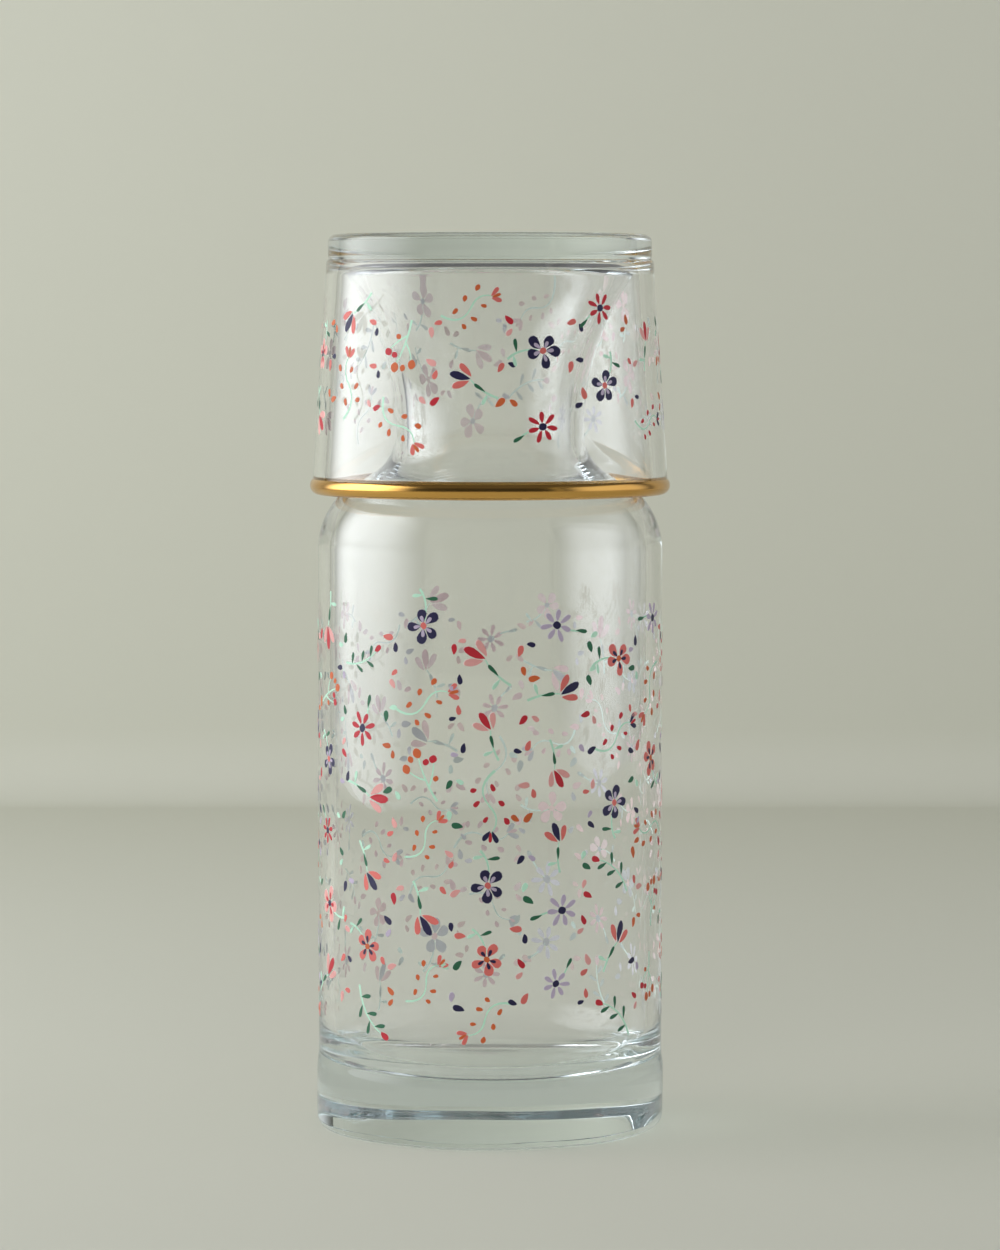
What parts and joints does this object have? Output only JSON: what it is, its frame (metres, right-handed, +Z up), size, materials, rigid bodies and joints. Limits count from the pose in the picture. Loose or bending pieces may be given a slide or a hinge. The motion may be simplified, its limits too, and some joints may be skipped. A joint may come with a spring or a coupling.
{
  "type": "carafe with tumbler",
  "caption": "Clear glass bedside carafe with a round shoulder, waisted neck and flared mouth, covered by an upside-down tumbler with a gilded lip that lifts off to drink from.",
  "frame": {"origin": "middle of the carafe's foot, on the surface it stands on", "axes": "+Z up along the axis that the carafe and the tumbler are round about; X and Y are alike"},
  "size_m": [0.0898, 0.0898, 0.223],
  "materials": {
    "carafe_glass": "clear polished soda-lime glass, faintly green in thick places, with small flowers fired on the outside in enamel",
    "tumbler_glass": "clear polished soda-lime glass, faintly green in thick places, with small flowers fired on the outside in enamel",
    "gold": "satin gold, with fine brush lines round the rim"
  },
  "bodies": {
    "carafe": {"carafe_glass": "carafe_glass"},
    "tumbler": {"tumbler_glass": "tumbler_glass", "gold_rim": "gold"}
  },
  "joints": [
    {"name": "tumbler_lift", "type": "slide", "parent": "carafe", "child": "tumbler", "axis": [0, 0, 1], "range_m": [0, 0.09]}
  ]
}
